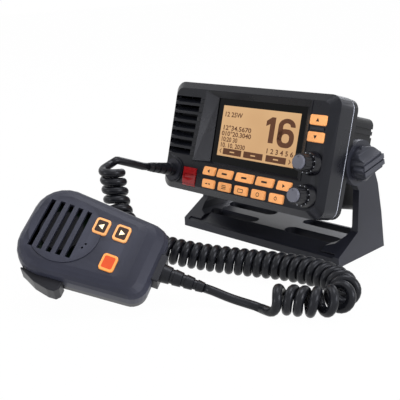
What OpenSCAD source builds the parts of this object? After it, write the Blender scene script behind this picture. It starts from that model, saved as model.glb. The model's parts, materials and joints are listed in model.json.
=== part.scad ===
// Fixed-mount VHF marine radio on its gimbal bracket, with hand microphone and curly cord (mm).
// +Z is up and the face looks towards -Y. The origin is the middle of the four mounting slots, on the underside.

/* [Front housing] */
// Width over the front rim
face_w = 172; // [168:1:190]
// Height over the front rim
face_h = 92; // [90:1:104]
// Depth of the front housing
front_d = 21; // [19:0.5:26]
// Corner radius of the rim
rim_r = 9; // [6:0.5:12]
// Width of the bevel round the flat face
bevel_w = 5.6; // [4:0.2:7]
// Depth of the bevel
bevel_d = 5; // [3:0.5:7]
// Thickness of the front wall
front_wall = 8; // [7.5:0.5:9]
// Thickness of the side walls
side_wall = 3; // [2:0.5:4]
// Thickness of the gasket between the housings
gasket_t = 1; // [0.6:0.2:2]

/* [Screen] */
// Width of the visible lens
lens_w = 91; // [85:1:93]
// Height of the visible lens
lens_h = 52.6; // [48:0.2:54]
// Lens centre, right of the middle of the face
lens_x = 13; // [10:0.5:16]
// Rim edge down to the top of the lens
lens_top = 11; // [10:0.5:13]
// Depth of the lens below the face
lens_drop = 4; // [3:0.25:4.5]
// Thickness of the lens
lens_t = 2; // [1.5:0.25:2.5]
// Edge of the lens that the surround covers
lens_lip = 1.5; // [1:0.25:2]
// Width of the display glass
lcd_w = 80; // [70:1:84]
// Height of the display glass
lcd_h = 41; // [36:1:44]
// Thickness of the display glass
lcd_t = 3; // [2:0.5:3.5]
// Thickness of the backlight frame
backlight_t = 3; // [2:0.5:4]
// Slope of the surround, left side at the top
slope_left = 12.5; // [10:0.5:14]
// How much further left its foot stands
slope_lean = 5; // [3:0.5:6]
// Slope of the surround above the lens
slope_top = 5.5; // [4:0.5:6]
// Slope of the surround, right side
slope_right = 6; // [4:0.5:6.5]
// Slope of the surround below the lens
slope_low = 2; // [1.5:0.25:2.5]
// How far the surround stands proud of the face
surround_proud = 0.6; // [0.4:0.1:1]

/* [Louvres] */
// Number of louvre blades
louvre_n = 7; // [5:1:7]
// Height of one louvre
louvre_pitch = 7.35; // [6.5:0.05:7.6]
// Rim edge down to the first louvre
louvre_top = 12.5; // [11:0.5:15]
// Depth of a louvre at its upper edge
louvre_d = 4.6; // [3:0.2:5.5]
// Flat left beside the louvres, from the rim
louvre_margin = 4; // [3:0.5:8]
// Height of the sound slit in each louvre
slit_h = 1.6; // [1:0.2:2.4]
// Length of the teeth that the surround sets between the louvres
tooth_l = 4; // [2:0.5:6]
// Height of a tooth
tooth_h = 3.2; // [2:0.2:4]
// Radius of the speaker
speaker_r = 16.5; // [14:0.5:17]
// Depth of the speaker
speaker_d = 9; // [6:0.5:11]

/* [Keys] */
// Height of the keys under the screen
key_h = 6.9; // [5.5:0.1:7.4]
// Width of the keys of the lower row
key_w = 13.8; // [11:0.2:15]
// Distance between the keys of the lower row
key_pitch = 18; // [16.5:0.25:18.5]
// Distance between the two rows
row_pitch = 10.4; // [9:0.2:11]
// Lens down to the middle of the upper row
row_gap = 7.9; // [7.4:0.1:8.6]
// Sideways lean of the ends of the upper keys
key_lean = 1.4; // [0:0.1:2]
// How far a key stands proud of the face
key_proud = 1.6; // [1:0.1:2.4]
// Travel of a key
key_travel = 0.8; // [0.4:0.1:1.2]
// Width of the channel keys
channel_key_w = 14.4; // [12:0.2:15]
// Height of the channel keys
channel_key_h = 7.4; // [6:0.2:8.6]
// Distance between the channel keys
channel_key_pitch = 12.4; // [11:0.2:14]
// Gap round a sliding key
key_gap = 0.2; // [0.15:0.05:0.3]

/* [Knobs] */
// Right rim edge to the knob axes
knob_edge = 14; // [13:0.5:16]
// Lower rim edge up to the lower knob
knob_low = 16.5; // [15:0.5:18]
// Distance between the two knobs
knob_pitch = 24; // [21:0.5:25]
// Radius of the knob skirt
knob_r = 9; // [7.5:0.25:9.5]
// Height of the knob skirt
skirt_h = 6; // [4:0.5:8]
// Radius of the fluted grip
grip_r = 6.4; // [5.8:0.1:7]
// Height of the fluted grip
grip_h = 8.5; // [6:0.5:11]
// Radius of the grey cap disc
cap_r = 5.3; // [4:0.1:5.4]
// Thickness of the grey cap disc
cap_t = 2; // [1.4:0.2:3]
// Radius of the encoder shafts
shaft_r = 3; // [2:0.25:3.5]
// Running gap between the knob skirts and the screen surround
knob_gap = 0.3; // [0.3:0.1:0.6]

/* [Distress key] */
// Width of the red cover
cover_w = 15; // [12:0.5:16]
// Height of the red cover
cover_h = 15.6; // [13:0.2:16]
// Thickness of the red cover
cover_t = 2; // [1.4:0.2:2.6]
// Left rim edge to the middle of the cover
cover_edge = 35.5; // [34:0.5:37]
// Lower rim edge to the lower edge of the cover
cover_low = 4.8; // [4.8:0.2:6]
// Radius of the button under the cover
distress_r = 4.6; // [3.5:0.2:5]

/* [Rear housing] */
// Thickness of the rear flange
flange_t = 5.5; // [4:0.5:8]
// Width of the rear housing
rear_w = 140; // [132:1:144]
// Top of the rear housing above the middle of the face
rear_top = 35.5; // [33:0.5:38]
// Bottom of the rear housing below the middle of the face
rear_low = 38.5; // [36:0.5:40]
// Depth from the face to the back of the fins
total_d = 76; // [70:1:90]
// Height of the cooling fins
fin_h = 9; // [6:0.5:12]
// Number of gaps between the fins
fin_gaps = 9; // [6:1:12]
// Width of a gap between fins
fin_gap_w = 5; // [3:0.5:6]
// Thickness of the circuit boards
board_t = 1.6; // [1.2:0.2:2]

/* [Bracket] */
// Width over the bracket arms
bracket_w = 170; // [166:1:190]
// Thickness of an arm
arm_t = 5.5; // [4:0.5:6]
// Height of the tilt axis
pivot_z = 77.3; // [74:0.1:90]
// Depth of the tilt axis behind the face
pivot_d = 40.5; // [40:0.5:44]
// Rest tilt of the radio, face upwards
tilt = 16; // [5:1:25]
// Tilt axis in front of the middle of the slots
pivot_front = 10; // [6:0.5:14]
// Front edge of the base in front of the tilt axis
base_front = 25; // [22:0.5:32]
// Back edge of the base plate behind the tilt axis
base_back = 33; // [32.5:0.5:40]
// Back of the arm feet behind the tilt axis
foot_back = 38; // [36:0.5:44]
// Height of the base plate
plate_h = 12; // [9:0.5:14]
// Height of the front lip
lip_h = 6.5; // [5:0.5:9]
// Wall thickness under the base plate
plate_t = 3.5; // [2.5:0.25:4.5]
// Radius of the arm heads
head_r = 17.5; // [15:0.5:18.5]
// How far the arm heads stand proud
head_proud = 1.5; // [1:0.25:2.5]
// Distance between the slots along X
slot_dx = 86; // [82:1:88]
// Distance between the slots along Y
slot_dy = 25; // [24:0.5:28]
// Length of a slot, end to end
slot_l = 54; // [40:1:56]
// Width of a slot
slot_w = 13; // [8:0.5:14]

/* [Clamp knobs] */
// Radius of the clamp knobs
clamp_r = 14; // [12:0.5:16]
// Height of the clamp knobs
clamp_h = 11; // [9:0.5:15]
// Width of the grip bar across a clamp knob
bar_w = 10.5; // [8:0.5:12]
// Radius of the clamp stud
stud_r = 3; // [2.5:0.25:4]
// Length of thread inside the insert
stud_in = 8; // [6:0.5:9]
// Thickness of the friction washers
washer_t = 1.8; // [1:0.2:2.4]

/* [Microphone] */
// Half width at the grille end
mic_half = 34.5; // [32:0.5:36]
// Half width at the cord end
mic_low_half = 29.5; // [28:0.5:31]
// Middle of the face up to the grille end
mic_up = 48.5; // [47:0.5:52]
// Middle of the face down to the cord end
mic_down = 49.5; // [47.5:0.5:52]
// Corner radius at the grille end
mic_up_r = 23; // [18:0.5:26]
// Corner radius at the cord end
mic_down_r = 12; // [9:0.5:14]
// Depth of the front shell
mic_front_d = 15; // [14:0.5:18]
// Depth of the rear shell
mic_rear_d = 18; // [14:0.5:22]
// Wall of the microphone shells
mic_wall = 2.4; // [1.8:0.2:2.8]
// Number of grille slots
grille_n = 5; // [4:1:5]
// Distance between the grille slots
grille_pitch = 6.9; // [6.2:0.1:7.2]
// Width of a grille slot
grille_slot = 3.6; // [2.4:0.2:4.2]
// Length of the grille slots
grille_l = 40; // [34:1:41]
// Radius of the raised plate round the grille
grille_r = 25; // [24:0.5:26]
// Width of the microphone keys
mic_key_w = 12.4; // [10:0.2:13]
// Height of the microphone keys
mic_key_h = 10.6; // [9:0.2:11.4]
// Distance between the up and down keys
mic_key_pitch = 15.1; // [14:0.1:16]
// Length of the talk lever
ptt_l = 31; // [27:0.5:33]
// Depth of the talk lever, front to back
ptt_d = 15; // [12:0.5:16]
// How far the talk lever stands out
ptt_out = 7; // [5:0.5:8]
// Swing of the talk lever
ptt_swing = 4; // [2:0.5:5]
// Radius of the hanger stud's head
hanger_r = 6.5; // [5:0.25:8]

/* [Cord] */
// Diameter of the cord
cord_d = 6.2; // [5.4:0.1:6.3]
// Radius of the curls, to the middle of the cord
curl_r = 7; // [6.4:0.1:7.2]
// Step between curls where the coil runs straight
curl_step = 6.9; // [6.9:0.1:8]
// Length of the boot at the radio
boot_l = 28; // [24:0.5:32]
// Length of the boot at the microphone
mic_boot_l = 30; // [26:0.5:34]

/* [Hidden] */

e = 0.01;
fit = 0.1;
slide_gap = 0.3;
corner_steps = 6;

// Places on the face: X from the middle, Z from the middle of the face
left_edge = -face_w / 2;
right_edge = face_w / 2;
top_edge = face_h / 2;
low_edge = -face_h / 2;
lens_z = top_edge - lens_top - lens_h / 2;
lens_left = lens_x - lens_w / 2;
lens_right = lens_x + lens_w / 2;
lens_foot = lens_z - lens_h / 2;
row_z = [lens_foot - row_gap, lens_foot - row_gap - row_pitch];
row_mid = lens_x - 3.8;
soft_key_x = [row_mid - 37, row_mid - 19.4, row_mid + 1.8, row_mid + 22.6, row_mid + 41.6];
soft_key_w = [13.4, 16.4, 18.4, 17.4, 13.2];
channel_x = right_edge - knob_edge;
channel_z = top_edge - 19.8;
knob_x = right_edge - knob_edge;
knob_z = [low_edge + knob_low + knob_pitch, low_edge + knob_low];
cover_x = left_edge + cover_edge;
cover_z = low_edge + cover_low;
gland_x = left_edge + 16;
gland_z = low_edge + 16;
gland_r = 9.2;
gland_hole = 6.6;
gland_proud = 2.4;
boot_r = [5.6, 4];

// Depths behind the face
rear_start = front_d + gasket_t;
lens_back = lens_drop + lens_t;
lcd_back = lens_back + lcd_t;
backlight_back = lcd_back + backlight_t;
key_flange = 1;
cavity_back = total_d - fin_h - 4;
main_board_y = rear_start + 9;

// Surround outline
surround_left = lens_left - slope_left;
surround_right = lens_right + slope_right;
surround_top = lens_z + lens_h / 2 + slope_top;
surround_low = lens_foot - slope_low;

// Bracket
pivot_y = -pivot_front;
arm_x = bracket_w / 2 - arm_t;
boss_r = 12;
insert_r = 5;
insert_l = 10;
boss_x = arm_x - slide_gap - washer_t;
stud_gap = 0.05;

// Microphone pose: middle of its face, and the way it leans
mic_place = [-8, -193.5, 48.4];
mic_yaw = 32;
mic_pitch = 18;
mic_lean = 51;
mic_key_x = 11.2;
mic_key_y = -3.4;
mic_power_x = -12.7;
grille_y = 36.4;
grille_mid = 19;
speaker_mic_r = 15;
ptt_top = 37.5;
ptt_z = -16;
block_w = 21;
block_l = 6.5;
block_z = -14;
mic_boot_r = [6.6, 4.2];

// ---------- Shared shapes ----------

function unit(v) = v / norm(v);
function rounded(w, h, r) = [
    for (c = [[1, 1, 0], [-1, 1, 90], [-1, -1, 180], [1, -1, 270]])
        for (k = [0 : corner_steps])
            let (a = c[2] + 90 * k / corner_steps)
            [c[0] * (w / 2 - r) + r * cos(a), c[1] * (h / 2 - r) + r * sin(a)]
];

// Extrudes an X-Z outline from depth y0 to y1
module slab(y0, y1) {
    translate([0, y1, 0]) rotate([90, 0, 0]) linear_extrude(y1 - y0) children();
}

// A round bar along Y
module rod(y0, y1, r1, r2 = undef) {
    translate([0, y0, 0]) rotate([-90, 0, 0]) cylinder(h = y1 - y0, r1 = r1, r2 = is_undef(r2) ? r1 : r2, $fn = 48);
}

module round_box(w, h, r, y0, y1) {
    slab(y0, y1) polygon(rounded(w, h, r));
}

// Skin through rings of equally many points, which run anticlockwise as the last ring is seen from outside
module loft(rings) {
    n = len(rings[0]);
    m = len(rings);
    polyhedron(
        points = [for (ring = rings) each ring],
        faces = [
            [for (k = [0 : n - 1]) k],
            for (i = [0 : m - 2])
                for (k = [0 : n - 1])
                    let (a = i * n + k, b = i * n + (k + 1) % n)
                    each [[a, b + n, b], [a, a + n, b + n]],
            [for (k = [n - 1 : -1 : 0]) (m - 1) * n + k]
        ],
        convexity = 6
    );
}

// Tube through a list of points, with a reference direction for each ring
module tube(points, sides, r, ref) {
    last = len(points) - 1;
    rings = [
        for (i = [0 : last])
            let (
                t = unit(points[min(i + 1, last)] - points[max(i - 1, 0)]),
                u = unit(ref[i] - (ref[i] * t) * t),
                v = cross(t, u)
            )
            [for (k = [0 : sides - 1]) points[i] + r * (cos(360 * k / sides) * u + sin(360 * k / sides) * v)]
    ];
    loft(rings);
}

// Catmull-Rom curve through the given points
function curve(p, steps) = [
    for (i = [0 : len(p) - 2])
        let (
            a = i == 0 ? 2 * p[0] - p[1] : p[i - 1],
            b = p[i],
            c = p[i + 1],
            d = i == len(p) - 2 ? 2 * c - b : p[i + 2]
        )
        for (k = [0 : steps - 1])
            let (t = k / steps)
            0.5 * (2 * b + (c - a) * t + (2 * a - 5 * b + 4 * c - d) * t * t + (3 * b - a - 3 * c + d) * t * t * t),
    p[len(p) - 1]
];
function soften(p, times) = times == 0 ? p : soften([
    for (i = [0 : len(p) - 1])
        i == 0 || i == len(p) - 1 ? p[i] : (p[i - 1] + 2 * p[i] + p[i + 1]) / 4
], times - 1);

// ---------- Places ----------

module in_radio() {
    translate([0, pivot_y, pivot_z]) rotate([-tilt, 0, 0]) translate([0, -pivot_d, 0]) children();
}
function radio_point(p) = [
    p.x,
    pivot_y + (p.y - pivot_d) * cos(tilt) + p.z * sin(tilt),
    pivot_z - (p.y - pivot_d) * sin(tilt) + p.z * cos(tilt)
];

module in_mic() {
    translate(mic_place) rotate([90 - mic_lean, mic_pitch, mic_yaw]) rotate([0, 0, 90]) children();
}
mic_along = [cos(mic_yaw) * cos(mic_pitch), sin(mic_yaw) * cos(mic_pitch), -sin(mic_pitch)];
mic_level = cross(mic_along, [0, 0, 1]) / cos(mic_pitch);
mic_rise = cross(mic_level, mic_along);
mic_side = mic_rise * cos(mic_lean) - mic_level * sin(mic_lean);
mic_out = mic_level * cos(mic_lean) + mic_rise * sin(mic_lean);
function mic_point(p) = mic_place + p.x * mic_side - p.y * mic_along + p.z * mic_out;

// ---------- Cord route ----------

// Middle line of the coil, from the radio's lead to the microphone's tail
coil_route = [
    [-65, -128, 76], [-63.5, -128, 64], [-60.5, -129, 52], [-55, -131, 41], [-44, -133, 31], [-30, -130, 24],
    [-13, -123, 19], [5, -112, 15], [24, -99, 12], [42, -89, 10.4], [60, -81, 10.4], [80, -75, 10.4],
    [99, -73, 10.4], [116, -77, 10.4], [128, -87, 10.4], [131, -100, 10.4], [125, -112, 10.4],
    [114, -118.5, 10.4], [105, -122.5, 10.4], [99, -128, 10.4], [97, -135, 10.4]
];
lead_mid = [[-71, -104, 74.5]];
tail_mid = [[62, -141.5, 8], [71, -138.5, 6.2]];
curl_rings = 8;
curl_sides = 6;
cord_sides = 10;

axis_line = soften(curve(coil_route, 10), 30);
axis_n = len(axis_line);
axis_dir = [for (i = [0 : axis_n - 1]) unit(axis_line[min(i + 1, axis_n - 1)] - axis_line[max(i - 1, 0)])];
axis_seg = [for (i = [1 : axis_n - 1]) norm(axis_line[i] - axis_line[i - 1])];
// Bend of the middle line, which widens the step so that the curls stay apart on the inside
axis_bend = [
    for (i = [0 : axis_n - 1])
        let (a = max(i - 1, 0), b = min(i + 1, axis_n - 1))
        norm(axis_dir[b] - axis_dir[a]) / norm(axis_line[b] - axis_line[a])
];
axis_rate = [for (k = axis_bend) (1 - min(curl_r * k, 0.7)) / curl_step];
axis_turn = [
    for (i = 0, s = 0; i < axis_n; s = s + (i < axis_n - 1 ? axis_seg[i] * (axis_rate[i] + axis_rate[i + 1]) / 2 : 0), i = i + 1) s
];
axis_up = [
    for (
        i = 0, u = unit([-1, 0, 0] + [1, 0, 0] * axis_dir[0] * axis_dir[0]);
        i < axis_n;
        i = i + 1, u = i < axis_n ? unit(u - (u * axis_dir[i]) * axis_dir[i]) : u
    ) u
];
curls = axis_turn[axis_n - 1];
coil_start_angle = 0;
coil_end_angle = 20;
coil_turns = floor(curls) + coil_end_angle / 360;

function pick(key, values) = [for (k = [0 : 2]) lookup(key, [for (i = [0 : axis_n - 1]) [axis_turn[i], values[i][k]]])];
function coil_middle(turn) = pick(turn, axis_line);
function coil_radial(turn) =
    let (
        u = unit(pick(turn, axis_up)),
        t = unit(pick(turn, axis_dir)),
        v = cross(t, u),
        a = coil_start_angle - 360 * turn
    )
    cos(a) * u + sin(a) * v;
function coil_point(turn) = coil_middle(turn) + curl_r * coil_radial(turn);
coil_ring_n = round(coil_turns * curl_rings);
ring_turn = coil_turns / coil_ring_n;
coil_first = coil_point(0);
coil_first_dir = unit(coil_point(0.02) - coil_first);
coil_last = coil_point(coil_turns);
coil_last_dir = unit(coil_last - coil_point(coil_turns - 0.02));

// Boot ends and the straight ends of the free cord
boot_end = radio_point([gland_x, -gland_proud - boot_l, gland_z]);
boot_dir = unit(radio_point([gland_x, -1, gland_z]) - radio_point([gland_x, 0, gland_z]));
mic_boot_start = -mic_down - 4;
mic_boot_end = mic_point([0, mic_boot_start - mic_boot_l, block_z]);
lead_route = concat(
    [boot_end, boot_end + boot_dir * cord_d],
    lead_mid,
    [coil_first - coil_first_dir * 2 * cord_d, coil_first - coil_first_dir * cord_d]
);
tail_route = concat(
    [mic_boot_end, mic_boot_end + mic_along * cord_d],
    tail_mid,
    [coil_last + coil_last_dir * 2 * cord_d, coil_last + coil_last_dir * cord_d]
);

module free_cord(route) {
    inner = curve([for (i = [1 : len(route) - 2]) route[i]], 4);
    line = concat([route[0]], inner, [route[len(route) - 1]]);
    tube(line, cord_sides, cord_d / 2, [for (p = line) [0, 0, 1]]);
}

module coil() {
    n = coil_ring_n;
    wound = [for (i = [0 : n]) coil_point(i * ring_turn)];
    out = [for (i = [0 : n]) coil_radial(i * ring_turn)];
    line = concat([coil_first - coil_first_dir * cord_d], wound, [coil_last + coil_last_dir * cord_d]);
    tube(line, curl_sides, cord_d / 2, concat([out[0]], out, [out[n]]));
}

// Least gap between curls, on points much closer than the tube's rings
gap_steps = 16;
gap_points = [for (i = [0 : floor(coil_turns * gap_steps)]) coil_point(i / gap_steps)];
gap_last = len(gap_points) - 1;
least_gap = min([
    for (i = [0 : gap_last])
        for (j = [i + gap_steps / 2 : 1 : min(gap_last, i + gap_steps * 3)])
            norm(gap_points[i] - gap_points[j])
]) - cord_d;
echo(least_coil_gap = least_gap);

// ---------- Bracket and clamp knobs ----------

// A plate in the Y-Z plane, from x0 to x1, drawn from the tilt axis at floor level
module side_slab(x0, x1) {
    translate([x0, pivot_y, 0]) rotate([90, 0, 90]) linear_extrude(x1 - x0) children();
}

function base_profile(inset) = [
    [-base_front + inset, 0],
    [-base_front + inset, lip_h - inset * 1.3],
    [-base_front + 2 + inset, lip_h + 1.2 - inset],
    [-8 + inset / 2, plate_h - inset],
    [base_back - 2 - inset, plate_h - inset],
    [base_back - inset, plate_h - 2 - inset],
    [base_back - inset, 0]
];
neck_y = 1;
neck_z = 22;
arm_profile = [
    [-base_front, 0], [-base_front, lip_h + 1.2], [neck_y - 1, neck_z], [neck_y, pivot_z - 22], [neck_y - 5, pivot_z - 15],
    [-head_r * 0.8, pivot_z], [0, pivot_z + head_r * 0.8], [head_r - 0.5, pivot_z + 1], [27, pivot_z - 22],
    [33, pivot_z - 47], [foot_back, 0]
];
gusset_profile = [[0, plate_h - 3], [0, plate_h + 14], [-2, plate_h + 7], [-6, plate_h + 2.2], [-13, plate_h], [-13, plate_h - 3]];

module slot_2d(w) {
    for (s = [-1, 1]) translate([s * (slot_l - slot_w) / 2, 0]) circle(d = w, $fn = 40);
    square([slot_l - slot_w, w], center = true);
}

module at_slots() {
    for (sx = [-1, 1]) for (sy = [-1, 1]) translate([sx * slot_dx / 2, sy * slot_dy / 2, 0]) children();
}

module arm() {
    side_slab(arm_x, arm_x + arm_t) polygon(arm_profile);
    translate([arm_x, pivot_y, pivot_z]) rotate([0, 90, 0]) cylinder(h = arm_t + head_proud, r = head_r, $fn = 64);
    intersection() {
        translate([arm_x, pivot_y, 0]) rotate([90, 0, 0]) translate([0, 0, -base_back + 1])
            linear_extrude(base_front + base_back - 4) polygon(gusset_profile);
        side_slab(arm_x - 20, arm_x + 1) polygon(arm_profile);
    }
}

module bracket() {
    color("#26262a") difference() {
        union() {
            side_slab(-arm_x - e, arm_x + e) polygon(base_profile(0));
            arm();
            mirror([1, 0, 0]) arm();
        }
        difference() {
            translate([0, 0, -e]) side_slab(-arm_x + plate_t, arm_x - plate_t) polygon(base_profile(plate_t));
            at_slots() linear_extrude(plate_h) offset(plate_t) slot_2d(slot_w);
        }
        at_slots() translate([0, 0, -1]) linear_extrude(plate_h + 2) slot_2d(slot_w);
        for (s = [-1, 1]) translate([s * arm_x, pivot_y, pivot_z]) rotate([0, 90, 0])
            cylinder(h = 4 * arm_t, r = stud_r + 0.4, center = true, $fn = 40);
    }
}

module clamp_knob() {
    collar_h = 2.4;
    slit_w = 1.2;
    scoop = clamp_h * 0.45;
    difference() {
        union() {
            cylinder(h = collar_h, r = clamp_r - 1, $fn = 64);
            translate([0, 0, collar_h]) linear_extrude(clamp_h - collar_h) union() {
                circle(r = clamp_r - 1.2, $fn = 64);
                for (k = [0 : 7]) rotate(45 * k) translate([clamp_r - 3.4, 0]) circle(r = 3.4, $fn = 24);
            }
            translate([-bar_w / 2 + 1, -clamp_r + 1, clamp_h - e]) cube([bar_w - 2, 2 * clamp_r - 2, 1.2]);
        }
        for (s = [-1, 1]) translate([s * (bar_w / 2 + clamp_r), 0, clamp_h - scoop + clamp_r * 0.75])
            rotate([90, 0, 0]) cylinder(h = 3 * clamp_r, r = clamp_r, center = true, $fn = 64);
        translate([-slit_w / 2, -clamp_r, clamp_h + 0.2]) cube([slit_w, 2 * clamp_r, 2]);
    }
    translate([0, 0, -(arm_t + head_proud + slide_gap + washer_t + slide_gap + stud_in)])
        cylinder(h = arm_t + head_proud + slide_gap + washer_t + slide_gap + stud_in + collar_h, r = stud_r, $fn = 40);
}

module place_clamp() {
    translate([arm_x + arm_t + head_proud + slide_gap, pivot_y, pivot_z]) rotate([0, 90, 0]) rotate(12) clamp_knob();
}
module clamp_knob_right() { color("#1c1c20") place_clamp(); }
module clamp_knob_left() { color("#1c1c20") mirror([1, 0, 0]) place_clamp(); }

// ---------- Front housing ----------

module surround_outline(grow) {
    offset(delta = grow) union() {
        polygon([
            [surround_left, surround_top], [surround_right, surround_top],
            [surround_right, surround_low], [surround_left - slope_lean, surround_low]
        ]);
        at_teeth() translate([-tooth_l, -tooth_h / 2]) square([tooth_l + 3, tooth_h]);
    }
}
function lean_at(z) = surround_left - slope_lean * (surround_top - z) / (surround_top - surround_low);
louvre_z = [for (i = [0 : louvre_n - 1]) top_edge - louvre_top - i * louvre_pitch];
module at_teeth() {
    for (z = louvre_z) translate([lean_at(z - louvre_pitch * 0.45), z - louvre_pitch * 0.45]) children();
}

module rim_body() {
    round_box(face_w, face_h, rim_r, bevel_d, front_d);
    loft([
        [for (p = rounded(face_w, face_h, rim_r)) [p.x, bevel_d, p.y]],
        [for (p = rounded(face_w - 2 * bevel_w, face_h - 2 * bevel_w, rim_r - bevel_w * 0.3)) [p.x, 0, p.y]]
    ]);
}

// Gill cut: deep at its upper edge, running out to the face below
module louvre_cut(z) {
    x0 = left_edge + louvre_margin;
    x1 = lean_at(z) - fit - tooth_l - 0.8;
    translate([x0, 0, z]) rotate([90, 0, 90])
        linear_extrude(x1 - x0) polygon([[-1, 0], [louvre_d, 0], [louvre_d, -slit_h], [-1, -louvre_pitch + 1.4]]);
    translate([x0 + 2.5, louvre_d - e, z - slit_h]) cube([x1 - x0 - 5, front_wall, slit_h]);
}

module key_outline(w, h, lean) {
    r = 1.2;
    polygon([
        for (c = [[1, 1, 0], [-1, 1, 90], [-1, -1, 180], [1, -1, 270]])
            for (k = [0 : 4])
                let (a = c[2] + 22.5 * k, x = c[0] * (w / 2 - r) + r * cos(a), y = c[1] * (h / 2 - r) + r * sin(a))
                [x + lean * y / h, y]
    ]);
}

module at_soft_key(i) { translate([soft_key_x[i], 0, row_z[0]]) children(); }
module at_row_key(i) { translate([row_mid + (i - 2) * key_pitch, 0, row_z[1]]) children(); }
module at_channel_key(i) { translate([channel_x, 0, channel_z - i * channel_key_pitch]) children(); }
module well(w, h, lean) { slab(-1, front_wall + 1) offset(delta = key_gap) key_outline(w, h, lean); }

module front_housing() {
    color("#232327") in_radio() difference() {
        union() {
            difference() {
                rim_body();
                round_box(face_w - 2 * side_wall, face_h - 2 * side_wall, rim_r - side_wall, front_wall, front_d + 1);
            }
            translate([gland_x, 0, gland_z]) rod(-1.2, 1, gland_r + 1.6);
            translate([channel_x, 0, channel_z - channel_key_pitch / 2])
                slab(-0.8, 1) square([channel_key_w - 2.4, 2], center = true);
            for (x = [board_left + 5, board_right - 5]) for (z = [board_low + 5, board_top - 5])
                translate([x, 0, z]) rod(front_wall - e, backlight_back, 2.6);
        }
        slab(-surround_proud - 1, lens_drop) surround_outline(fit);
        slab(lens_drop - e, lens_back) square_at(lens_x, lens_z, lens_w + 2 * lens_lip + 2 * fit, lens_h + 2 * lens_lip + 2 * fit);
        slab(lens_back - e, front_wall + 1) square_at(lens_x, lcd_z, lcd_w + 6 + 2 * fit, lcd_h + 6 + 2 * fit);
        for (z = louvre_z) louvre_cut(z);
        for (i = [0 : 4]) at_soft_key(i) well(soft_key_w[i], key_h, key_lean);
        for (i = [0 : 4]) at_row_key(i) well(key_w, key_h, 0);
        for (i = [0, 1]) at_channel_key(i) well(channel_key_w, channel_key_h, 0);
        for (z = knob_z) translate([knob_x, 0, z]) rod(-1, front_wall + 1, shaft_r + 0.08);
        translate([gland_x, 0, gland_z]) rod(-2, front_wall + 1, gland_hole);
        translate([cover_x, 0, cover_z + cover_h / 2]) {
            slab(-1, cover_t + 0.4) square([cover_w + 2 * slide_gap, cover_h + 2 * slide_gap], center = true);
            rod(0, front_wall + 1, distress_r + key_gap);
        }
        for (s = [-1, 1]) translate([cover_x + s * (cover_w / 2 + 1.5), cover_t / 2, cover_z + cover_t / 2])
            rotate([0, 90, 0]) cylinder(h = 4.4, r = pin_r + 0.08, center = true, $fn = 32);
    }
}

module square_at(x, z, w, h) { translate([x, z]) square([w, h], center = true); }

pin_r = 0.7;
cover_proud = 0.8;
cover_step = 1.4;
lcd_z = lens_z + 0.4;
board_left = lens_left - 12;
board_margin = 2.4;
board_right = right_edge - side_wall - board_margin;
board_top = top_edge - side_wall - board_margin;
board_low = low_edge + side_wall + board_margin;

// Corners of a four-sided outline, whose lower left corner stands further out by lean
function square_points(x0, x1, z0, z1, lean) = [[x1, z1], [x0, z1], [x0 - lean, z0], [x1, z0]];

module screen_surround() {
    edge = 0.8;
    lip_t = 0.8;
    color("#4a4c52") in_radio() difference() {
        slab(-surround_proud, lens_drop) surround_outline(0);
        loft([
            [for (p = square_points(lens_left, lens_right, lens_foot, lens_z + lens_h / 2, 0)) [p.x, lens_drop - lip_t, p.y]],
            [for (p = square_points(surround_left + edge, surround_right - edge, surround_low + edge / 2,
                    surround_top - edge, slope_lean)) [p.x, -surround_proud - e, p.y]]
        ]);
        slab(0, lens_drop + 1) square_at(lens_x, lens_z, lens_w, lens_h);
    }
}

module screen_lens() {
    color("#0a0a0c") in_radio() slab(lens_drop, lens_back)
        square_at(lens_x, lens_z, lens_w + 2 * lens_lip, lens_h + 2 * lens_lip);
}

module lcd_panel() {
    color("#e0a860") in_radio() slab(lens_back, lcd_back) square_at(lens_x, lcd_z, lcd_w + 6, lcd_h + 6);
}

module backlight_frame() {
    color("white") in_radio() difference() {
        slab(lcd_back, backlight_back) square_at(lens_x, lcd_z, lcd_w + 7, lcd_h + 7);
        slab(lcd_back + 1, backlight_back + 1) square_at(lens_x, lcd_z, lcd_w, lcd_h);
    }
}

module front_board() {
    color("#1d5a34") in_radio() difference() {
        slab(backlight_back, backlight_back + board_t) polygon([
            [board_left, board_top], [board_right, board_top], [board_right, board_low],
            [cover_x - cover_w / 2, board_low], [cover_x - cover_w / 2, cover_z + cover_h + 2], [board_left, cover_z + cover_h + 2]
        ]);
        for (z = knob_z) translate([knob_x, 0, z]) rod(0, total_d, shaft_r + 0.4);
    }
}

module speaker() {
    speaker_x = left_edge + side_wall + slide_gap + speaker_r;
    speaker_z = louvre_z[0] - louvre_n * louvre_pitch / 2;
    color("#2c2c2c") in_radio() translate([speaker_x, 0, speaker_z]) {
        rod(front_wall, front_wall + speaker_d * 0.4, speaker_r);
        rod(front_wall + speaker_d * 0.4, front_wall + speaker_d * 0.8, speaker_r - 2, speaker_r * 0.55);
        rod(front_wall + speaker_d * 0.8, front_wall + speaker_d, speaker_r * 0.55);
    }
}

module case_gasket() {
    color("#8d9096") in_radio() difference() {
        round_box(face_w - 0.6, face_h - 0.6, rim_r - 0.3, front_d, rear_start);
        round_box(face_w - 2 * side_wall, face_h - 2 * side_wall, rim_r - side_wall, front_d - 1, rear_start + 1);
    }
}

// ---------- Rear housing ----------

rear_mid = (rear_top - rear_low) / 2;
rear_h = rear_top + rear_low;
rear_wall = 3.5;
fin_pitch = (rear_w - 16) / fin_gaps;

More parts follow.
